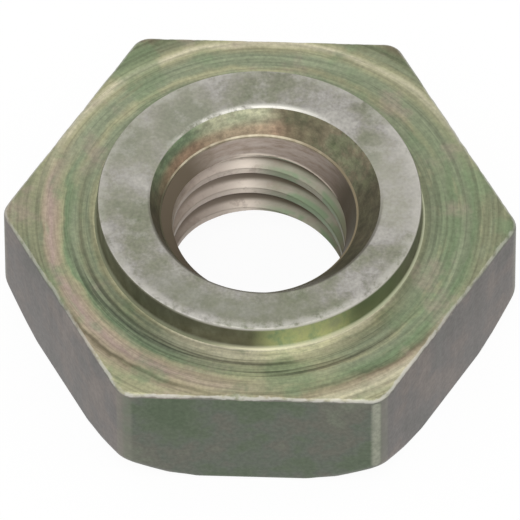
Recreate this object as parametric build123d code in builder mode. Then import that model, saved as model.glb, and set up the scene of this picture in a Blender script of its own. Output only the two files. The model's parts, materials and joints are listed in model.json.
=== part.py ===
# Hex weld nut with a turned centring collar, for an M8 x 1.25 right-hand thread.
# It is one piece of hexagonal steel, faced, turned and countersunk on a lathe.
# Millimetres, +Z up the thread. The origin is on the thread's axis, in the plane of the underside.
import os
from math import cos, radians, sqrt, tan

from build123d import *

os.makedirs("parts", exist_ok=True)

# thread: the bore is left at its minor diameter
thread_major_dia = 8.0
thread_pitch = 1.25

# hexagonal body
across_flats = 17.0
hex_height = 5.2
corner_round = 0.8  # the bar's six upright corners
seat_edge_round = 0.25  # where the flats meet the seat
corner_chamfer = 1.065  # underside, along the radius at a sharp corner
corner_chamfer_angle = 45.0  # up from the underside
lower_edge_round = 0.33  # round the underside, and where the chamfer meets the flats

# seat, the face that is welded to the sheet: the facing tool leaves a shallow ring near the flats
ring_inset = 0.2  # inner edge of the ring, in from the flats
ring_width = 0.25
ring_depth = 0.05

# collar, which centres the nut in the hole of the sheet
collar_dia = 12.25
collar_height = 1.15
collar_foot_round = 0.2
collar_edge_round = 0.12

# mouth of the bore in the collar: a wide countersink over a steeper lead-in
lead_in_width = 0.4
lead_in_depth = 0.8
lead_in_offset = -0.1  # the lead-in's wide end stands this far along X off the thread's axis
countersink_width = 0.63
countersink_depth = 0.98
countersink_offset = 0.22  # the countersink's rim stands this far along X off the thread's axis

# mouth of the bore in the underside
back_countersink_width = 0.98
back_countersink_depth = 1.2

# worked out from the sizes above
minor_radius = thread_major_dia / 2 - thread_pitch * sqrt(3) * 5 / 16
lead_in_radius = minor_radius + lead_in_width
rim_radius = lead_in_radius + countersink_width
flat_radius = across_flats / 2
corner_radius = flat_radius / cos(radians(30))
chamfer_height = corner_chamfer * tan(radians(corner_chamfer_angle))
ring_inner_radius = flat_radius - ring_inset
total_height = hex_height + collar_height
lead_in_top = total_height - countersink_depth
thread_top = lead_in_top - lead_in_depth

with BuildPart() as weld_nut:
    # hexagonal bar with rounded corners, two of them on the X axis
    with BuildSketch(Plane.XY) as bar:
        RegularPolygon(radius=flat_radius, side_count=6, major_radius=False)
        fillet(bar.vertices(), radius=corner_round)
    extrude(amount=hex_height)
    fillet(weld_nut.faces().sort_by(Axis.Z)[-1].edges(), radius=seat_edge_round)

    # lathe work: the chamfer under the corners, and the ring in the seat
    with BuildSketch(Plane.XZ) as turned_section:
        with BuildLine():
            Polyline(
                (0, 0),
                (corner_radius - corner_chamfer, 0),
                (corner_radius, chamfer_height),
                (corner_radius, hex_height),
                (ring_inner_radius + ring_width, hex_height - ring_depth),
                (ring_inner_radius, hex_height),
                (0, hex_height),
                close=True,
            )
        make_face()
    revolve(axis=Axis.Z, mode=Mode.INTERSECT)

    # rounded edges: the underside's straight ones, and the curved ones above the chamfer
    chamfers = weld_nut.faces().filter_by(GeomType.CONE).filter_by(
        lambda face: face.center().Z < chamfer_height
    )
    chamfer_tops = chamfers.edges().filter_by(lambda edge: edge.center().Z > 0.01)
    underside_edges = weld_nut.faces().sort_by(Axis.Z)[0].edges().filter_by(GeomType.LINE)
    fillet(
        underside_edges + chamfer_tops.filter_by(GeomType.LINE, reverse=True),
        radius=lower_edge_round,
    )

    # collar
    with BuildSketch(Plane.XY.offset(hex_height)):
        Circle(collar_dia / 2)
    extrude(amount=collar_height)
    collar_circles = weld_nut.edges(Select.LAST).filter_by(GeomType.CIRCLE).sort_by(Axis.Z)
    fillet(collar_circles[-1], radius=collar_edge_round)
    collar_foot = weld_nut.edges().filter_by(GeomType.CIRCLE).filter_by(
        lambda edge: abs(edge.radius - collar_dia / 2) < 0.001
    ).sort_by(Axis.Z)[0]
    fillet(collar_foot, radius=collar_foot_round)

    # bore at the thread's minor diameter, with the countersink in the underside
    with BuildSketch(Plane.XZ) as bore_section:
        with BuildLine():
            Polyline(
                (0, 0),
                (minor_radius + back_countersink_width, 0),
                (minor_radius, back_countersink_depth),
                (minor_radius, thread_top),
                (0, thread_top),
                close=True,
            )
        make_face()
    revolve(axis=Axis.Z, mode=Mode.SUBTRACT)

    # mouth in the collar: each level is a circle a little off the one below
    with BuildSketch(Plane.XY.offset(thread_top)) as mouth_bottom:
        Circle(minor_radius)
    with BuildSketch(Plane.XY.offset(lead_in_top)) as mouth_middle:
        with Locations((lead_in_offset, 0)):
            Circle(lead_in_radius)
    with BuildSketch(Plane.XY.offset(total_height)) as mouth_rim:
        with Locations((countersink_offset, 0)):
            Circle(rim_radius)
    loft(
        sections=[mouth_bottom.sketch, mouth_middle.sketch, mouth_rim.sketch],
        ruled=True,
        mode=Mode.SUBTRACT,
    )

weld_nut.part.label = "weld_nut"
export_step(weld_nut.part, "parts/weld_nut.step")
print("weld_nut volume", round(weld_nut.part.volume, 2), "mm3, valid", weld_nut.part.is_valid)
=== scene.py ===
import json
import math

import bmesh
import bpy
from mathutils import Matrix, Vector, noise


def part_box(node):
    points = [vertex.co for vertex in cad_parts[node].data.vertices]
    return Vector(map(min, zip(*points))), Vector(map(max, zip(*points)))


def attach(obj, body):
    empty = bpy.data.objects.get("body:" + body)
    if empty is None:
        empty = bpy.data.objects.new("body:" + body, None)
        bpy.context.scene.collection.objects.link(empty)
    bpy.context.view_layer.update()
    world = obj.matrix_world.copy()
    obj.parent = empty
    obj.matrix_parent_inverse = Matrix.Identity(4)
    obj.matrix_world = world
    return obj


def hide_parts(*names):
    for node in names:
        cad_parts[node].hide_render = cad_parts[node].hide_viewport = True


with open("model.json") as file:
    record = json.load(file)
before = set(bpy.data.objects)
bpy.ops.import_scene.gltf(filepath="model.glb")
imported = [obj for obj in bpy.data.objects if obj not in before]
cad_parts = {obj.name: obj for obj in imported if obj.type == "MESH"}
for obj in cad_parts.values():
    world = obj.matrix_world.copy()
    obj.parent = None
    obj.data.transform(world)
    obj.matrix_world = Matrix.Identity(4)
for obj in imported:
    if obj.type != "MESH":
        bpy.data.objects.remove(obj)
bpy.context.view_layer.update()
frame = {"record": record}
mm = 0.001  # meshes are shaped in millimetres and brought to metres at the end


def hexColour(code):  # sRGB hex to the linear colour a shader wants
    parts = [int(code[i:i + 2], 16) / 255 for i in (1, 3, 5)]
    return [p / 12.92 if p < 0.04045 else ((p + 0.055) / 1.055) ** 2.4 for p in parts] + [1.0]


def mountSize(name, key):
    mount = next(m for m in frame["record"]["mounts"] if m["name"] == name)
    return mount["dims"][key]


# the nut's own sizes, in millimetres
nutLow, nutHigh = (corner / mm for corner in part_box("weld_nut"))
nut = {
    "flats": nutHigh.y - nutLow.y,
    "height": nutHigh.z - nutLow.z,
    "collarHeight": 1.15,
    "collarRadius": mountSize("collar", "r_mm"),
    "collarFoot": 0.2,  # radius where the collar rises from the seat
    "collarEdge": 0.12,
    "cornerRound": 0.8,
    "seatEdge": 0.25,
    "edgeNicks": 0.03,  # how far the seat's edge wanders
    "cornerChamfer": 1.065,  # underside, along the radius at a sharp corner
    "chamferAngle": 45,
    "lowerEdge": 0.3,  # rounding all round the underside
    "ringInset": 0.2,  # the facing tool's shallow ring near the flats
    "ringWidth": 0.25,
    "ringDepth": 0.05,
    "latheSteps": 288,
    "barSteps": 432,
}
facing = {
    "feed": 0.083,  # the facing tool moves this far each turn
    "depth": 0.0018,
    "cornerFeed": 0.11,
}
mouth = {
    "leadInWidth": 0.45,
    "leadInDepth": 0.8,
    "leadInOffset": -0.04,
    "sinkWidth": 0.63,
    "sinkDepth": 0.98,
    "sinkOffset": 0.22,
    "rimRound": 0.08,
    "lipWidth": 0.07,  # bright burr left where the countersink ends, each side of its crest
    "lipHeight": 0.035,
    "footLean": 0.1,  # the lead-in reaches lower on the right, by this much a millimetre
    "burrSlant": (0.09, -0.057, 1),  # square to the line where the thread breaks into the lead-in's far side
    "burrDrop": 0.09,  # and that line's height under threadTop, on the thread's axis
    "burrWidth": 0.06,
    "backWidth": 0.98,  # countersink in the underside
    "backDepth": 1.27,
    "backLean": 0.12,  # and that countersink reaches higher on the left
}
thread = {
    "minor": mountSize("thread", "r_mm") - 0.05,  # the crests stand a hair inside the plain bore
    "pitch": 1.25,
    "lean": 0.03,  # the tap went in at a slight slant, towards -X lower down
    "turns": 6,
    "stepsPerTurn": 96,
    "tilt": 0.08,  # its turns drop this much a millimetre towards +X
    "startAngle": 93,
    "crestRound": 0.07,
    "rootRound": 0.09,
    "fadeStart": -0.4,  # the groove runs out between these heights, from the lead-in's foot
    "fadeEnd": -0.02,
}
flatRadius = nut["flats"] / 2
cornerRadius = flatRadius / math.cos(math.radians(30))
seatHeight = nut["height"] - nut["collarHeight"]
collarFootRadius = nut["collarRadius"] + nut["collarFoot"]
leadInRadius = thread["minor"] + mouth["leadInWidth"]
rimRadius = leadInRadius + mouth["sinkWidth"]
leadInTop = nut["height"] - mouth["sinkDepth"]
threadTop = leadInTop - mouth["leadInDepth"]
ringInner = flatRadius - nut["ringInset"]
ringFloor = ringInner + nut["ringWidth"]


def arc(centre, radius, start, end, segments):
    angles = [math.radians(start + (end - start) * i / segments) for i in range(segments + 1)]
    return [(centre[0] + radius * math.cos(a), centre[1] + radius * math.sin(a)) for a in angles]


def barReach(azimuth):  # from the axis to the side of the bar, whose corners are rounded
    fromCorner = abs((math.degrees(azimuth) + 30) % 60 - 30)
    corner = nut["cornerRound"]
    centre = (flatRadius - corner) / math.cos(math.radians(30))
    tangent = math.atan2(corner * math.sin(math.radians(30)), centre + corner * math.cos(math.radians(30)))
    turn = math.radians(fromCorner)
    if turn < tangent:
        return centre * math.cos(turn) + math.sqrt(corner ** 2 - (centre * math.sin(turn)) ** 2)
    return flatRadius / math.cos(math.radians(30) - turn)


def hexBar():  # drawn up ring by ring from the underside
    bar = bmesh.new()
    chamferFoot = cornerRadius - nut["cornerChamfer"]
    slope = math.tan(math.radians(nut["chamferAngle"]))
    top = seatHeight + 0.0006  # a hair above the seat, so that turning it never meets face to face
    core = 1.0  # radius of the bar's own hole, which the bore cuts away
    levels = [
        lambda reach: (core, 0),
        lambda reach: (min(chamferFoot, reach - nut["lowerEdge"] - 0.02), 0),
        lambda reach: (reach, max(0, reach - chamferFoot) * slope),
        lambda reach: (reach, top),
        lambda reach: (core, top),
    ]
    bmesh.ops.create_circle(bar, segments=nut["barSteps"], radius=core)
    ring = bar.edges[:]
    rings = []
    for level in levels:
        if rings:
            made = bmesh.ops.extrude_edge_only(bar, edges=ring)["geom"]
            ring = [e for e in made if isinstance(e, bmesh.types.BMEdge)]
            points = [v for v in made if isinstance(v, bmesh.types.BMVert)]
            ring = [e for e in ring if all(v in points for v in e.verts)]
        else:
            points = bar.verts[:]
        for point in points:
            azimuth = math.atan2(point.co.y, point.co.x)
            radius, height = level(barReach(azimuth))
            point.co = (radius * math.cos(azimuth), radius * math.sin(azimuth), height)
        rings.append(ring)
    bmesh.ops.bridge_loops(bar, edges=rings[0] + rings[-1])
    bmesh.ops.bevel(bar, geom=rings[2], offset=nut["lowerEdge"], segments=5, profile=0.5,
                    affect="EDGES", material=-1)
    rim = [e for e in bar.edges if all(abs(v.co.z - top) < 0.001 and v.co.xy.length > flatRadius - 0.01
                                       for v in e.verts)]
    bmesh.ops.bevel(bar, geom=rim, offset=nut["seatEdge"], segments=6, profile=0.5,
                    affect="EDGES", material=-1)
    nickEdge(bar)
    bmesh.ops.recalc_face_normals(bar, faces=bar.faces)
    return bar


def nickEdge(bar):  # the seat's edge is a little ragged from handling
    for vert in bar.verts:
        radius = vert.co.xy.length
        if vert.co.z > seatHeight - nut["seatEdge"] * 1.4 and radius > flatRadius - nut["seatEdge"]:
            roughness = noise.noise(vert.co * 1.3) + 0.7 * noise.noise(vert.co * 4.5)
            bite = nut["edgeNicks"] * max(0.0, 0.2 + roughness)
            vert.co.xy *= 1 - bite / radius


def turningMarks(start, end, feed, height):  # fine grooves of uneven depth, from start to end
    count = int(abs(end - start) / feed)
    step = (end - start) / count
    marks = []
    for i in range(count):
        radius = start + step * (i + 0.5)
        depth = facing["depth"] * (0.5 + 1.6 * abs(math.sin(radius * 5.3) * math.sin(radius * 12.9)))
        marks.append((radius - step / 4, height(radius) - depth * 0.1))
        marks.append((radius + step / 4, height(radius) - depth))
    return marks


def turnedOutline():
    inner = 0.2  # how far the blank's bore stays inside the thread
    spare = 0.3  # how far the blank stands past the bar, before it is cut down to the bar
    foot = nut["collarFoot"]
    edge = nut["collarEdge"]
    wall = nut["collarRadius"]
    backSlope = mouth["backDepth"] / mouth["backWidth"]
    outline = [
        (thread["minor"] - inner, mouth["backDepth"] + inner * backSlope),
        (thread["minor"] + mouth["backWidth"] + spare / backSlope, -spare),
        (cornerRadius + spare, -spare),
        (cornerRadius + spare, seatHeight),
        (cornerRadius, seatHeight),
    ]
    rise = nut["ringDepth"] / (cornerRadius - ringFloor)
    outline += turningMarks(cornerRadius - 0.05, ringFloor + 0.03, facing["cornerFeed"],
                            lambda radius: seatHeight - (cornerRadius - radius) * rise)
    outline += [
        (ringFloor, seatHeight - nut["ringDepth"]),
        (ringInner, seatHeight),
    ]
    outline += turningMarks(ringInner - 0.02, wall + foot + 0.03, facing["feed"], lambda radius: seatHeight)
    outline += arc((wall + foot, seatHeight + foot), foot, 270, 180, 8)
    outline += arc((wall - edge, nut["height"] - edge), edge, 0, 90, 6)
    outline += [
        (rimRadius + mouth["rimRound"], nut["height"]),
        (rimRadius, nut["height"] - mouth["rimRound"] * 0.6),
        (leadInRadius + mouth["lipWidth"] * 0.54, leadInTop + mouth["lipWidth"] * 0.84),
        (leadInRadius - mouth["lipHeight"] * 0.87, leadInTop + mouth["lipHeight"] * 0.5),
        (leadInRadius - mouth["lipWidth"] * 0.45, leadInTop - mouth["lipWidth"] * 0.89),
        (thread["minor"], threadTop),
        (thread["minor"] - inner, threadTop - inner * mouth["leadInDepth"] / mouth["leadInWidth"]),
    ]
    return outline


def turnedBlank():
    blank = bmesh.new()
    points = [blank.verts.new((radius, 0, height)) for radius, height in turnedOutline()]
    loop = [blank.edges.new(pair) for pair in zip(points, points[1:] + points[:1])]
    bmesh.ops.spin(blank, geom=points + loop, cent=(0, 0, 0), axis=(0, 0, 1), angle=math.tau,
                   steps=nut["latheSteps"], use_merge=True)
    bmesh.ops.remove_doubles(blank, verts=blank.verts, dist=0.0001)
    bmesh.ops.recalc_face_normals(blank, faces=blank.faces)
    leanMouth(blank)
    return blank


def leanMouth(blank):  # the countersink's rim and foot each stand a little off the thread's axis
    for vert in blank.verts:
        if vert.co.z > threadTop - 0.001 and vert.co.xy.length < rimRadius + 0.2:
            if vert.co.z < threadTop + 0.001:
                vert.co.z = leadInFoot(vert.co.x)
            vert.co.x += mouthCentre(vert.co.z)
        elif vert.co.z > mouth["backDepth"] and vert.co.xy.length < thread["minor"]:
            vert.co.z -= mouth["backLean"] * vert.co.x


def leadInFoot(x):  # height where the lead-in meets the thread
    return threadTop - mouth["footLean"] * x


def mouthCentre(height):
    rise = (height - threadTop) / mouth["leadInDepth"]
    if rise < 1:
        return mouth["leadInOffset"] * rise
    sink = (height - leadInTop) / mouth["sinkDepth"]
    return mouth["leadInOffset"] + (mouth["sinkOffset"] - mouth["leadInOffset"]) * sink


def threadProfile():  # one pitch of an internal thread, from the middle of one crest to the next
    pitch = thread["pitch"]
    minor = thread["minor"]
    depth = pitch * math.sqrt(3) / 2 * 5 / 8
    crestR = thread["crestRound"]
    rootR = thread["rootRound"]
    crestEnd = pitch / 8 - math.tan(math.radians(30)) * crestR
    rootStart = pitch / 2 - pitch / 16 + math.tan(math.radians(30)) * rootR
    half = [(minor, 0), (minor, crestEnd)]
    for angle in (15, 30, 45, 60):
        turn = math.radians(angle)
        half.append((minor + crestR * (1 - math.cos(turn)), crestEnd + crestR * math.sin(turn)))
    for angle in (60, 45, 30, 15, 0):
        turn = math.radians(angle)
        half.append((minor + depth - rootR * (1 - math.cos(turn)), rootStart - rootR * math.sin(turn)))
    return half + [(radius, pitch - height) for radius, height in reversed(half)]


def threadScrew():  # the solid that fills the threaded hole
    screw = bmesh.new()
    length = thread["pitch"] * thread["turns"]
    low = -2 * thread["pitch"]
    points = [screw.verts.new((radius, 0, low + height)) for radius, height in threadProfile()]
    line = [screw.edges.new(pair) for pair in zip(points, points[1:])]
    bmesh.ops.spin(screw, geom=points + line, cent=(0, 0, 0), axis=(0, 0, 1),
                   dvec=(0, 0, thread["pitch"] / thread["stepsPerTurn"]),
                   angle=math.tau * thread["turns"], steps=thread["turns"] * thread["stepsPerTurn"])
    bmesh.ops.remove_doubles(screw, verts=screw.verts, dist=0.0005)
    for end, sign in ((low, -1), (low + length, 1)):
        rim = [e for e in screw.edges if e.is_boundary and
               (e.verts[0].co.z - (low + length / 2)) * sign > 0]
        made = bmesh.ops.extrude_edge_only(screw, edges=rim)
        tips = [v for v in made["geom"] if isinstance(v, bmesh.types.BMVert)]
        bmesh.ops.pointmerge(screw, verts=tips, merge_co=(0, 0, end + thread["pitch"] / 2))
    turned = Matrix.Rotation(math.radians(thread["startAngle"]), 3, "Z")
    bmesh.ops.rotate(screw, verts=screw.verts, matrix=turned)
    for vert in screw.verts:
        vert.co.z -= thread["tilt"] * vert.co.x
        radius = vert.co.xy.length
        if radius > thread["minor"]:
            above = vert.co.z - leadInFoot(vert.co.x) - thread["fadeStart"]
            keep = 1 - min(1, max(0, above / (thread["fadeEnd"] - thread["fadeStart"])))
            vert.co.xy *= (thread["minor"] + (radius - thread["minor"]) * keep) / radius
        vert.co.x += thread["lean"] * (vert.co.z - leadInTop)
    bmesh.ops.recalc_face_normals(screw, faces=screw.faces)
    tapped = screw.faces.layers.int.new("tapped")  # stays on the faces that the thread leaves in the hole
    for part in screw.faces:
        part[tapped] = 1
    return screw


def makeObject(name, mesh):
    data = bpy.data.meshes.new(name)
    mesh.to_mesh(data)
    mesh.free()
    thing = bpy.data.objects.new(name, data)
    bpy.context.scene.collection.objects.link(thing)
    return thing


def combine(first, second, operation):  # keeps first, uses up second
    cut = first.modifiers.new(operation, "BOOLEAN")
    cut.operation = operation
    cut.solver = "EXACT"
    cut.object = second
    result = bpy.data.meshes.new_from_object(first.evaluated_get(bpy.context.evaluated_depsgraph_get()))
    first.modifiers.clear()
    first.data = result
    bpy.data.objects.remove(second)


def collarRoom():  # lets the collar stand through the bar's top
    room = bmesh.new()
    radius = collarFootRadius + 0.05
    bmesh.ops.create_cone(room, cap_ends=True, segments=nut["latheSteps"], radius1=radius, radius2=radius,
                          depth=nut["height"])
    bmesh.ops.translate(room, verts=room.verts, vec=(0, 0, nut["height"] / 2 + 1))
    return room


print("turning the nut")
stock = makeObject("stock", hexBar())
combine(stock, makeObject("collarRoom", collarRoom()), "UNION")
weldNut = makeObject("weldNut", turnedBlank())
combine(weldNut, stock, "INTERSECT")
print("cutting the thread")
combine(weldNut, makeObject("screw", threadScrew()), "DIFFERENCE")


def addNode(tree, kind, links=None, output=0, stops=None, **settings):
    node = tree.nodes.new("ShaderNode" + kind)
    for name, value in settings.items():
        setattr(node, name, value)
    if stops:  # a colour ramp has two of them already
        ramp = node.color_ramp.elements
        for _ in stops[2:]:
            ramp.new(0.5)
        for element, (position, colour) in zip(ramp, stops):
            element.position = position
            element.color = hexColour(colour) if isinstance(colour, str) else (colour, colour, colour, 1)
    for name, value in (links or {}).items():
        socket = node.inputs[name]
        if isinstance(value, bpy.types.NodeSocket):
            tree.links.new(value, socket)
        else:
            socket.default_value = hexColour(value) if isinstance(value, str) else value
    return node.outputs[output]


def startFinish(name):  # a material, its nodes, and where on the nut a point lies, in millimetres
    material = bpy.data.materials.new(name)
    material.use_nodes = True
    tree = material.node_tree
    spot = addNode(tree, "VectorMath", {0: addNode(tree, "TexCoord", output="Object"), "Scale": 1 / mm},
                   operation="SCALE")
    level = addNode(tree, "VectorMath", {0: spot, 1: (1, 1, 0)}, operation="MULTIPLY")
    return material, tree, {
        "spot": spot,
        "height": addNode(tree, "SeparateXYZ", {0: spot}, output="Z"),
        "radius": addNode(tree, "VectorMath", {0: level}, output="Value", operation="LENGTH"),
        "around": addNode(tree, "VectorMath", {0: level}, operation="NORMALIZE"),
    }


def blend(tree, amount, first, second, kind="MIX"):
    return addNode(tree, "Mix", {0: amount, 6: first, 7: second}, output=2, data_type="RGBA", blend_type=kind)


def between(tree, value, low, high, start=0.0, end=1.0):  # eases from start to end as value goes low to high
    return addNode(tree, "MapRange", {"Value": value, "From Min": low, "From Max": high,
                                      "To Min": start, "To Max": end}, interpolation_type="SMOOTHSTEP")


def product(tree, *values):
    result = values[0]
    for value in values[1:]:
        result = addNode(tree, "Math", {0: result, 1: value}, operation="MULTIPLY")
    return result


def cloud(tree, place, perMm, detail=3.0, rough=0.55, shift=0.0):  # blotches alike in every direction
    moved = addNode(tree, "VectorMath", {0: place["spot"], 1: (shift, shift, shift)}, operation="ADD")
    return addNode(tree, "TexNoise", {"Vector": moved, "Scale": perMm, "Detail": detail, "Roughness": rough})


def turned(tree, place, round, perMm, detail=2.0, rough=0.55, shift=0.0, along="radius"):
    # streaks that follow the lathe's turning: few changes round the nut, perMm of them across
    across = addNode(tree, "Math", {0: place[along], 1: perMm, 2: shift}, operation="MULTIPLY_ADD")
    lifted = addNode(tree, "CombineXYZ", {"Z": across})
    swirl = addNode(tree, "VectorMath", {0: place["around"], 1: (round, round, 0), 2: lifted},
                    operation="MULTIPLY_ADD")
    return addNode(tree, "TexNoise", {"Vector": swirl, "Scale": 1.0, "Detail": detail, "Roughness": rough})


def towards(tree, place, azimuth, start, end):  # 1 on the side that faces azimuth, 0 away from it
    side = (math.cos(math.radians(azimuth)), math.sin(math.radians(azimuth)), 0)
    lean = addNode(tree, "VectorMath", {0: place["around"], 1: side}, output="Value", operation="DOT_PRODUCT")
    return between(tree, lean, math.cos(math.radians(end)), math.cos(math.radians(start)))


def closeFinish(tree, colour, roughness, relief=None, depth=0.01, metallic=0.85):
    shader = tree.nodes["Principled BSDF"]
    shader.inputs["Metallic"].default_value = metallic
    tree.links.new(colour, shader.inputs["Base Color"])
    if isinstance(roughness, bpy.types.NodeSocket):
        tree.links.new(roughness, shader.inputs["Roughness"])
    else:
        shader.inputs["Roughness"].default_value = roughness
    if relief:
        bump = addNode(tree, "Bump", {"Height": relief, "Distance": depth * mm, "Strength": 1.0})
        tree.links.new(bump, shader.inputs["Normal"])


# chromated zinc: the colours that the thin yellow passivation takes
chromate = {
    "sage": "#8d957a",
    "green": "#7c8e6c",
    "olive": "#888a6e",
    "straw": "#a5a382",
    "tan": "#a69a82",
    "rose": "#a8958a",
    "cream": "#cdc6aa",
    "moss": "#6c7358",
    "umber": "#79705a",
}


def radiusBands(tree, radius, bands):  # bands are (radius in millimetres, colour)
    inner = nut["collarRadius"]
    reach = cornerRadius - inner
    share = addNode(tree, "MapRange", {"Value": radius, "From Min": inner, "From Max": cornerRadius})
    return addNode(tree, "ValToRGB", {0: share},
                   stops=[((distance - inner) / reach, chromate[colour]) for distance, colour in bands])


def facedSeat():  # faced on the lathe, then chromated: a soft green to rose skin, ringed at the front
    material, tree, place = startFinish("facedSeat")
    wander = cloud(tree, place, 0.5, detail=3, shift=4)
    radius = addNode(tree, "Math", {0: wander, 1: 0.7, 2: place["radius"]}, operation="MULTIPLY_ADD")
    radius = addNode(tree, "Math", {0: radius, 1: 0.35}, operation="SUBTRACT")
    left = radiusBands(tree, radius, (
        (6.35, "straw"), (6.55, "sage"), (6.85, "olive"), (7.05, "sage"), (7.42, "green"), (7.55, "straw"),
        (7.7, "tan"), (8.0, "rose"), (8.28, "tan"), (8.38, "umber"), (8.46, "umber"), (8.58, "tan"),
        (8.9, "straw")))
    right = radiusBands(tree, radius, (
        (6.3, "cream"), (6.5, "straw"), (6.8, "olive"), (7.1, "sage"), (7.3, "olive"), (7.45, "straw"),
        (7.6, "sage"), (8.0, "green"), (8.3, "moss"), (8.42, "umber"), (8.56, "tan"), (8.85, "cream"),
        (9.4, "straw")))
    back = radiusBands(tree, radius, (
        (6.3, "sage"), (6.9, "sage"), (7.15, "straw"), (7.35, "sage"), (7.8, "sage"), (8.1, "straw"),
        (8.35, "cream"), (8.6, "straw"), (8.8, "olive"), (9.2, "moss"), (9.5, "umber")))
    colour = blend(tree, towards(tree, place, -150, 50, 72), right, left)
    beside = radiusBands(tree, radius, (
        (6.3, "olive"), (6.6, "sage"), (7.5, "green"), (7.8, "sage"), (8.1, "green"), (8.5, "olive"),
        (9.2, "olive"), (9.5, "moss")))
    colour = blend(tree, towards(tree, place, 5, 32, 52), colour, beside)
    corner = product(tree, towards(tree, place, 180, 20, 40), between(tree, place["radius"], 8.15, 8.4))
    colour = blend(tree, corner, colour, chromate["olive"])
    colour = blend(tree, towards(tree, place, 95, 50, 85), colour, back)
    # painted highlight: a light stretch across the seat at the front, where the turned rings catch the light
    colour = blend(tree, product(tree, towards(tree, place, -88, 8, 30), 0.4), colour, "#b9b490")
    colour = blend(tree, product(tree, towards(tree, place, 28, 15, 50), 0.3), colour, chromate["moss"])
    dull = product(tree, towards(tree, place, -120, 8, 30), between(tree, place["radius"], 6.55, 6.8),
                   between(tree, place["radius"], 7.75, 7.4), 0.35)
    colour = blend(tree, dull, colour, "#5f6c58")
    # painted highlight: cream at the front, where the collar's foot catches the light
    foot = product(tree, towards(tree, place, -88, 10, 42), between(tree, place["radius"], 7.1, 6.35))
    colour = blend(tree, product(tree, foot, 0.9), colour, "#dcd6bc")
    # patches where the skin is thicker or thinner
    patches = cloud(tree, place, 0.42, detail=4, rough=0.6, shift=11)
    colour = blend(tree, between(tree, patches, 0.54, 0.68, 0, 0.45), colour, chromate["rose"])
    colour = blend(tree, between(tree, patches, 0.47, 0.34, 0, 0.6), colour, chromate["green"])
    drift = turned(tree, place, 4, 2.2, detail=4, shift=23)
    colour = blend(tree, between(tree, drift, 0.55, 0.72, 0, 0.5), colour, chromate["straw"])
    colour = blend(tree, between(tree, drift, 0.45, 0.3, 0, 0.5), colour, chromate["sage"])
    # rings: faint all round, dark and fine at the front, left of the middle and inside the tan band
    broad = turned(tree, place, 2.2, 4, detail=3, rough=0.7, shift=31)
    fine = turned(tree, place, 1.3, 8, detail=2, shift=47)
    front = towards(tree, place, -105, 35, 75)
    inner = product(tree, front, between(tree, place["radius"], 7.65, 7.4),
                    between(tree, place["radius"], 6.6, 6.95))
    dip = addNode(tree, "Mix", {0: front, 2: 0.86, 3: 0.76}, data_type="FLOAT")
    swell = addNode(tree, "MapRange", {"Value": broad, "From Min": 0.32, "From Max": 0.68,
                                       "To Min": dip, "To Max": 1.1})
    colour = blend(tree, 1.0, colour, swell, "MULTIPLY")
    deep = addNode(tree, "Mix", {0: inner, 2: 0.86, 3: 0.45}, data_type="FLOAT")
    rings = addNode(tree, "MapRange", {"Value": fine, "From Min": 0.38, "From Max": 0.52,
                                       "To Min": deep, "To Max": 1.08})
    colour = blend(tree, 1.0, colour, rings, "MULTIPLY")
    speckle = cloud(tree, place, 6, detail=4, rough=0.7)
    colour = blend(tree, 1.0, colour, between(tree, speckle, 0.25, 0.75, 0.84, 1.16), "MULTIPLY")
    relief = addNode(tree, "Math", {0: fine, 1: broad}, operation="ADD")
    # the rounded edge and the underside keep the bar's own grey
    upright = addNode(tree, "SeparateXYZ", {0: addNode(tree, "NewGeometry", output="Normal")}, output="Z")
    bare = addNode(tree, "ValToRGB", {0: patches}, stops=[
        (0.34, "#676c5c"), (0.5, "#72716a"), (0.66, "#807a72")])
    bare = blend(tree, 1.0, bare, between(tree, speckle, 0.25, 0.75, 0.92, 1.08), "MULTIPLY")
    colour = blend(tree, between(tree, upright, 0.8, 0.35), colour, bare)
    # and handling has laid bare a broken line of zinc along that edge, which is painted brighter at the front
    # as a highlight
    ragged = cloud(tree, place, 2.6, detail=5, rough=0.7, shift=9)
    level = addNode(tree, "Math", {0: ragged, 1: 0.5, 2: upright}, operation="MULTIPLY_ADD")
    line = product(tree, between(tree, level, 0.62, 0.78), between(tree, level, 1.16, 1.0))
    # worn zinc all round, with painted highlight making it brighter at the front
    edgeWearAndHighlight = addNode(tree, "Mix", {0: towards(tree, place, -85, 32, 60), 2: 0.34, 3: 0.64},
                       data_type="FLOAT")
    broken = between(tree, cloud(tree, place, 2.2, detail=4, shift=33), 0.35, 0.52, 0.2, 1)
    colour = blend(tree, product(tree, line, edgeWearAndHighlight, broken), colour, "#c8c6bf")
    closeFinish(tree, colour, 0.5, relief, 0.004, metallic=0.6)
    return material


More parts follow.
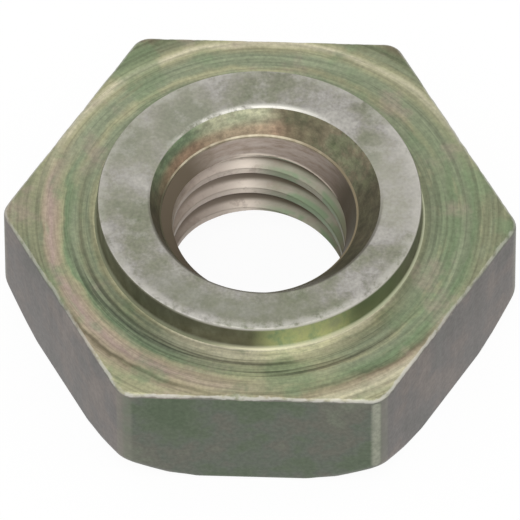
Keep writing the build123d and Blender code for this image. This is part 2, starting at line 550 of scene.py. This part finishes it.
def collarFace():  # faced last and rubbed by the sheet: dull zinc grey with olive stains
    material, tree, place = startFinish("collarFace")
    stain = cloud(tree, place, 0.42, detail=6, rough=0.62, shift=2.3)
    colour = addNode(tree, "ValToRGB", {0: stain}, stops=[
        (0.38, "#7d816c"), (0.45, "#8b8c7a"), (0.52, "#98968b"), (0.57, "#a3a09a"), (0.64, "#b3b0a9")])
    rubbed = cloud(tree, place, 1.6, detail=5, rough=0.65, shift=17)
    colour = blend(tree, between(tree, rubbed, 0.5, 0.68, 0, 0.45), colour, "#b0aea6")
    colour = blend(tree, between(tree, rubbed, 0.46, 0.33, 0, 0.5), colour, "#7d7e6d")
    speckle = cloud(tree, place, 8, detail=3, shift=5)
    colour = blend(tree, 1.0, colour, between(tree, speckle, 0.28, 0.72, 0.86, 1.1), "MULTIPLY")
    olive = product(tree, towards(tree, place, -100, 12, 50), between(tree, place["radius"], 5.9, 5.55),
                    between(tree, place["radius"], 4.5, 5.0), 0.5)
    colour = blend(tree, olive, colour, "#80846f")
    colour = blend(tree, product(tree, towards(tree, place, 145, 15, 55), 0.2), colour, "#c4c1b7")
    colour = blend(tree, product(tree, towards(tree, place, 8, 10, 32), 0.35), colour, "#c4c1b7")
    # both rims are rubbed brighter, and carry painted highlights: the outer rim at the front, the hole's rim
    # at the far side
    # rubbed wear on the outer rim, with painted highlight strongest at the front
    outerRimWearAndHighlight = between(tree, place["radius"], nut["collarRadius"] - 0.45, nut["collarRadius"] - 0.12, 0, 0.7)
    front = towards(tree, place, -85, 25, 80)
    outerRimWearAndHighlight = product(tree, outerRimWearAndHighlight, between(tree, front, 0, 1, 0.4, 1))
    colour = blend(tree, product(tree, outerRimWearAndHighlight, between(tree, rubbed, 0.35, 0.55)), colour, "#cbc8c0")
    aside = addNode(tree, "VectorMath", {0: place["spot"], 1: (mouth["sinkOffset"], 0, nut["height"])},
                    output="Value", operation="DISTANCE")
    # painted highlight on the hole's rounded rim at the far side, broken up by the rubbed pattern
    rim = between(tree, aside, rimRadius + 0.24, rimRadius + 0.06)
    rim = product(tree, rim, towards(tree, place, 100, 14, 52))
    colour = blend(tree, product(tree, rim, between(tree, rubbed, 0.38, 0.54)), colour, "#dddbd2")
    # painted shade: a dark line along the hole's rounded rim on the near side
    nearRimShade = product(tree, between(tree, aside, rimRadius + 0.13, rimRadius + 0.05),
                   towards(tree, place, -90, 60, 110))
    colour = blend(tree, product(tree, nearRimShade, 0.85), colour, "#5f5c52")
    closeFinish(tree, colour, 0.52, rubbed, 0.02, metallic=0.7)
    return material


def collarWall():  # turned smooth: dark olive, with the seat's reflection painted in as a bright green stretch
    material, tree, place = startFinish("collarWall")
    streak = turned(tree, place, 9, 0.8, detail=4, rough=0.65, shift=3, along="height")
    dark = addNode(tree, "ValToRGB", {0: streak}, stops=[
        (0.35, "#61604f"), (0.55, "#6e6e5d"), (0.7, "#7d7e6d")])
    bright = addNode(tree, "ValToRGB", {0: streak}, stops=[
        (0.35, "#98ac88"), (0.5, "#bcc392"), (0.65, "#aab08f")])
    # painted reflection of the seat: a bright green stretch on the wall's front right, fading out at its
    # edges
    colour = blend(tree, product(tree, towards(tree, place, -56, 10, 40), 0.75), dark, "#72805c")
    colour = blend(tree, towards(tree, place, -71, 4, 21), colour, bright)
    # painted highlight: the wall's foot fillet lighter at the front and right, darker elsewhere
    foot = between(tree, place["height"], seatHeight + nut["collarFoot"] * 0.8, seatHeight + 0.02, 0, 0.85)
    footHighlight = blend(tree, towards(tree, place, -5, 45, 75), "#75785f", "#b4b79a")
    footHighlight = blend(tree, towards(tree, place, -74, 8, 36), footHighlight, "#bdb99c")
    colour = blend(tree, foot, colour, footHighlight)
    # painted highlight along the wall's top edge, on the front right
    top = product(tree, between(tree, place["height"], nut["height"] - 0.16, nut["height"] - 0.03),
                  towards(tree, place, -55, 35, 75))
    colour = blend(tree, top, colour, "#b4b1a8")
    closeFinish(tree, colour, 0.42, streak, 0.003, metallic=0.8)
    return material


def countersinkWall():  # cut with a steep tool: green to brown, with painted shade darker at the sides
    material, tree, place = startFinish("countersinkWall")
    streak = turned(tree, place, 4, 4, detail=4, rough=0.7, shift=8, along="height")
    blotch = cloud(tree, place, 0.9, detail=4, rough=0.6, shift=19)
    colour = addNode(tree, "ValToRGB", {0: blotch}, stops=[
        (0.34, "#6e7458"), (0.45, "#777860"), (0.55, "#857b66"), (0.68, "#8e8a70")])
    left = product(tree, towards(tree, place, 135, 15, 50), between(tree, place["height"], 5.4, 5.9))
    colour = blend(tree, product(tree, left, 0.8), colour, "#8fa584")
    brown = product(tree, towards(tree, place, 118, 25, 60), between(tree, place["height"], 6.05, 5.65))
    colour = blend(tree, product(tree, brown, 0.85), colour, "#b89a82")
    lit = product(tree, towards(tree, place, 106, 6, 26), between(tree, place["height"], 5.6, 6.1, 0.3, 1))
    lit = product(tree, lit, between(tree, blotch, 0.35, 0.5, 0.6, 1))
    colour = blend(tree, product(tree, lit, 0.9), colour, "#d3d2b2")
    colour = blend(tree, product(tree, towards(tree, place, 68, 5, 16), 0.55), colour, "#615f48")
    # painted shade: the countersink's sides darker than its far wall
    sides = towards(tree, place, 100, 45, 104)
    colour = blend(tree, between(tree, sides, 0, 1, 0.9, 0), colour, "#4a4635")
    colour = blend(tree, 1.0, colour, between(tree, streak, 0.28, 0.72, 0.8, 1.16), "MULTIPLY")
    speckle = cloud(tree, place, 3.2, detail=5, rough=0.75, shift=29)
    colour = blend(tree, 1.0, colour, between(tree, speckle, 0.3, 0.7, 0.72, 1.25), "MULTIPLY")
    closeFinish(tree, colour, 0.48, streak, 0.01, metallic=0.7)
    return material


def leadInWall():  # the tap's own lead-in, barely coated: mauve brown
    material, tree, place = startFinish("leadInWall")
    streak = turned(tree, place, 4, 6, detail=4, rough=0.7, shift=28, along="height")
    colour = addNode(tree, "ValToRGB", {0: streak}, stops=[
        (0.35, "#a69687"), (0.5, "#baaba0"), (0.65, "#c8bcb2")])
    # painted shade: the lead-in darker everywhere but its far wall
    dark = blend(tree, towards(tree, place, 170, 30, 70), "#554c3b", "#6a5f4f")
    colour = blend(tree, towards(tree, place, 82, 0, 62), dark, colour)
    # its foot carries a thin bright burr where the thread breaks into it
    rise = addNode(tree, "VectorMath", {0: place["spot"], 1: mouth["burrSlant"]}, output="Value",
                   operation="DOT_PRODUCT")
    foot = threadTop - mouth["burrDrop"]
    burr = product(tree,
                   between(tree, rise, foot + mouth["burrWidth"] * 1.4, foot + mouth["burrWidth"] * 0.7),
                   between(tree, rise, foot - 0.5, foot - 0.3), towards(tree, place, 70, 25, 45),
                   between(tree, streak, 0.4, 0.55, 0.4, 0.9))
    colour = blend(tree, burr, colour, "#f6eadb")
    closeFinish(tree, colour, 0.48, streak, 0.006, metallic=0.6)
    return material


def lipBurr():  # the thin burr between the two cones, rubbed bright where it is not buried in the left side
    material, tree, place = startFinish("lipBurr")
    worn = turned(tree, place, 9, 1, detail=2)
    colour = addNode(tree, "ValToRGB", {0: worn}, stops=[(0.35, "#a2967e"), (0.6, "#c4bba3")])
    colour = blend(tree, towards(tree, place, 108, 15, 75), "#857a62", colour)
    colour = blend(tree, towards(tree, place, 60, 85, 112), "#55523f", colour)
    closeFinish(tree, colour, 0.45, metallic=0.7)
    return material


def cutThread():  # tapped: bright crests and flanks, with painted shade in the root and at the sides, and a painted highlight on the far side
    material, tree, place = startFinish("cutThread")
    streak = turned(tree, place, 4, 6, detail=3, rough=0.7, shift=15, along="height")
    colour = addNode(tree, "ValToRGB", {0: streak}, stops=[
        (0.3, "#b9ac9e"), (0.5, "#d2c7b8"), (0.7, "#e4dacb")])
    # painted highlight: a bright stretch on the thread's far side
    colour = blend(tree, product(tree, towards(tree, place, 113, 12, 36), 0.75), colour, "#f8ecdf")
    colour = blend(tree, product(tree, towards(tree, place, 56, 22, 48), 0.7), colour, "#8f877a")
    patch = cloud(tree, place, 0.9, detail=3, shift=6)
    spots = cloud(tree, place, 2.4, detail=4, rough=0.65, shift=26)
    colour = blend(tree, between(tree, spots, 0.5, 0.66, 0, 0.4), colour, "#a08c80")
    green = product(tree, towards(tree, place, 45, 15, 55), between(tree, patch, 0.38, 0.52, 0.3, 1),
                    between(tree, place["radius"], 3.46, 3.34, 0.3, 0.85))
    colour = blend(tree, green, colour, "#7f9674")
    pink = product(tree, towards(tree, place, 145, 10, 45), 0.6)
    colour = blend(tree, pink, colour, "#a39288")
    # painted shade: the root of each groove darker, lighter towards 150 degrees
    root = between(tree, place["radius"], 3.5, 3.66)
    rootShade = blend(tree, towards(tree, place, 150, 20, 80), "#6b6250", "#9c8f82")
    colour = blend(tree, root, colour, rootShade)
    # painted shade: the thread darker at the sides than on its far wall
    sides = towards(tree, place, 98, 35, 95)
    colour = blend(tree, between(tree, sides, 0, 1, 0.75, 0), colour, "#665c48")
    closeFinish(tree, colour, 0.5, streak, 0.006, metallic=0.5)
    return material


def rolledFlats():  # drawn hexagon bar under the same skin: cloudy, green in front and mauve grey beside
    material, tree, place = startFinish("rolledFlats")
    mottle = cloud(tree, place, 0.55, detail=4, rough=0.55, shift=13)
    green = addNode(tree, "ValToRGB", {0: mottle}, stops=[
        (0.32, "#5a6652"), (0.44, "#606a58"), (0.52, "#656b60"), (0.6, "#6a6a60"), (0.7, "#717567")])
    mauve = addNode(tree, "ValToRGB", {0: mottle}, stops=[
        (0.32, "#686662"), (0.46, "#6f6b68"), (0.56, "#756e69"), (0.7, "#7f7771")])
    normal = addNode(tree, "NewGeometry", output="Normal")
    ahead = addNode(tree, "VectorMath", {0: normal, 1: (0, -1, 0)}, output="Value", operation="DOT_PRODUCT")
    colour = blend(tree, between(tree, ahead, 0.78, 0.94), mauve, green)
    grain = cloud(tree, place, 6, detail=3, rough=0.6, shift=3)
    colour = blend(tree, 1.0, colour, between(tree, grain, 0.3, 0.7, 0.84, 1.06), "MULTIPLY")
    # rounded corners carry a paler coat, and the one at the front right a painted highlight line
    rounded = between(tree, place["radius"], 9.58, 9.66)
    colour = blend(tree, product(tree, rounded, 0.35), colour, "#8a8b7d")
    # painted highlight where the front right corner's rounding faces the light
    highlightFacing = addNode(tree, "VectorMath", {0: normal, 1: (0.26, -0.97, 0)}, output="Value",
                    operation="DOT_PRODUCT")
    line = product(tree, rounded, towards(tree, place, -60, 10, 20), between(tree, highlightFacing, 0.955, 0.995),
                   between(tree, grain, 0.3, 0.7, 0.35, 0.7))
    colour = blend(tree, line, colour, "#a5a696")
    closeFinish(tree, colour, 0.5, grain, 0.008, metallic=0.8)
    return material


finishes = [facedSeat(), collarFace(), collarWall(), countersinkWall(), leadInWall(), lipBurr(), cutThread(),
            rolledFlats()]
seat, face, wall, sink, leadIn, lip, screwed, sides = range(len(finishes))


def finishFor(centre, normal):  # of the faces that the thread doesn't reach
    radius = centre.xy.length
    if normal.z < -0.9:
        return seat
    if radius > collarFootRadius + 0.01:
        return seat if normal.z > 0.25 else sides
    if centre.z > nut["height"] - 0.02 or (normal.z > 0.75 and centre.z > nut["height"] - 0.1):
        return face
    if normal.x * centre.x + normal.y * centre.y > -0.1 * radius:
        return wall if centre.z > seatHeight + 0.01 else seat
    if centre.z > leadInTop + mouth["lipWidth"]:
        return sink
    return lip if centre.z > leadInTop - mouth["lipWidth"] else leadIn


crease = {
    "angle": 20,  # degrees: edges that turn more than this stay crisp
    "markAngle": 2,  # and so do the seat's shallow marks, past this
}
print("finishing the surfaces")
weldNut.data.materials.clear()
for finish in finishes:
    weldNut.data.materials.append(finish)
tapped = weldNut.data.attributes["tapped"]
for polygon, cut in zip(weldNut.data.polygons, tapped.data):
    polygon.material_index = screwed if cut.value else finishFor(polygon.center, polygon.normal)
weldNut.data.attributes.remove(tapped)
weldNut.data.set_sharp_from_angle(angle=math.radians(crease["angle"]))


def sharpenMarks(mesh):  # the turning marks stay crisp though they are shallow, and the underside flat
    shape = bmesh.new()
    shape.from_mesh(mesh)
    for edge in shape.edges:
        middle = (edge.verts[0].co + edge.verts[1].co) / 2
        onSeat = abs(middle.z - seatHeight) < 0.1 and middle.xy.length > collarFootRadius
        turns = edge.calc_face_angle(0) > math.radians(crease["markAngle"])
        level = all(f.normal.z > 0.9 for f in edge.link_faces)
        if (onSeat and turns and level) or any(f.normal.z < -0.999 for f in edge.link_faces):
            edge.smooth = False
    shape.to_mesh(mesh)
    shape.free()


sharpenMarks(weldNut.data)
weldNut.data.transform(Matrix.Scale(mm, 4))
print("nut triangles", sum(len(p.vertices) - 2 for p in weldNut.data.polygons))
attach(weldNut, "root")
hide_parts("weld_nut")


print("lighting the stage")
stage = {
    "size": 1.5,  # metres from the middle to each side
    "floor": "#fafaf8",
    "whiteness": 0.95,  # how much of the floor's white is its own where it is seen
}


def paleFloor():
    material = bpy.data.materials.new("paleFloor")
    material.use_nodes = True
    tree = material.node_tree
    path = tree.nodes.new("ShaderNodeLightPath")
    seen = addNode(tree, "Math", {0: path.outputs["Is Camera Ray"], 1: path.outputs["Is Glossy Ray"]},
                   operation="MAXIMUM")
    seen = addNode(tree, "Math", {0: seen, 1: path.outputs["Is Transmission Ray"]}, operation="MAXIMUM")
    share = product(tree, seen, stage["whiteness"])
    matt = addNode(tree, "BsdfDiffuse", {"Color": stage["floor"]})
    white = addNode(tree, "Emission", {"Color": "#ffffff", "Strength": 1.0})
    mixed = addNode(tree, "MixShader", {0: share, 1: matt, 2: white})
    tree.links.new(mixed, tree.nodes["Material Output"].inputs["Surface"])
    return material


floorMesh = bmesh.new()
bmesh.ops.create_grid(floorMesh, x_segments=1, y_segments=1, size=stage["size"])
floor = makeObject("floor", floorMesh)
floor.data.materials.append(paleFloor())


def studioWorld():  # soft white tent, brightest low down and dimmer overhead
    world = bpy.data.worlds.new("studio")
    world.use_nodes = True
    tree = world.node_tree
    direction = addNode(tree, "TexCoord", output="Generated")
    height = addNode(tree, "SeparateXYZ", {0: direction}, output="Z")
    tent = addNode(tree, "ValToRGB", {0: height}, stops=[
        (0.0, 1.0), (0.55, 1.15), (0.72, 1.1), (0.82, 0.8), (0.9, 0.6), (1.0, 0.65)])
    path = addNode(tree, "LightPath", output="Is Camera Ray")
    colour = blend(tree, path, tent, "#ffffff")
    background = tree.nodes["Background"]
    tree.links.new(colour, background.inputs["Color"])
    background.inputs["Strength"].default_value = 1.0
    return world


def softLamp(name, azimuth, elevation, distance, size, power):
    data = bpy.data.lights.new(name, "AREA")
    data.size = size
    data.energy = power
    lamp = bpy.data.objects.new(name, data)
    bpy.context.scene.collection.objects.link(lamp)
    turn = Matrix.Rotation(math.radians(azimuth + 90), 4, "Z")
    tilt = Matrix.Rotation(math.radians(90 - elevation), 4, "X")
    lamp.matrix_world = turn @ tilt @ Matrix.Translation((0, 0, distance))


bpy.context.scene.world = studioWorld()
frontLight = {
    "azimuth": -90,
    "elevation": 67,
    "distance": 0.3,  # metres, as its size is
    "size": 0.16,
    "power": 0.22,
}
softLamp("frontLamp", **frontLight)

view = {
    "azimuth": 2.38,
    "elevation": 53.26,
    "roll": -0.385,
    "distance": 546.6,
    "lens": 997.8,
    "aim": (0, 0, 2.494),
}
camera = bpy.data.objects.new("camera", bpy.data.cameras.new("camera"))
bpy.context.scene.collection.objects.link(camera)
camera.data.lens = view["lens"]
camera.data.clip_start = 0.05
camera.data.clip_end = 20
camera.matrix_world = (
    Matrix.Translation(Vector(view["aim"]) * mm)
    @ Matrix.Rotation(math.radians(view["azimuth"]), 4, "Z")
    @ Matrix.Rotation(math.radians(90 - view["elevation"]), 4, "X")
    @ Matrix.Rotation(math.radians(view["roll"]), 4, "Z")
    @ Matrix.Translation((0, 0, view["distance"] * mm))
)
bpy.context.scene.camera = camera
bpy.context.scene.view_settings.view_transform = "Standard"
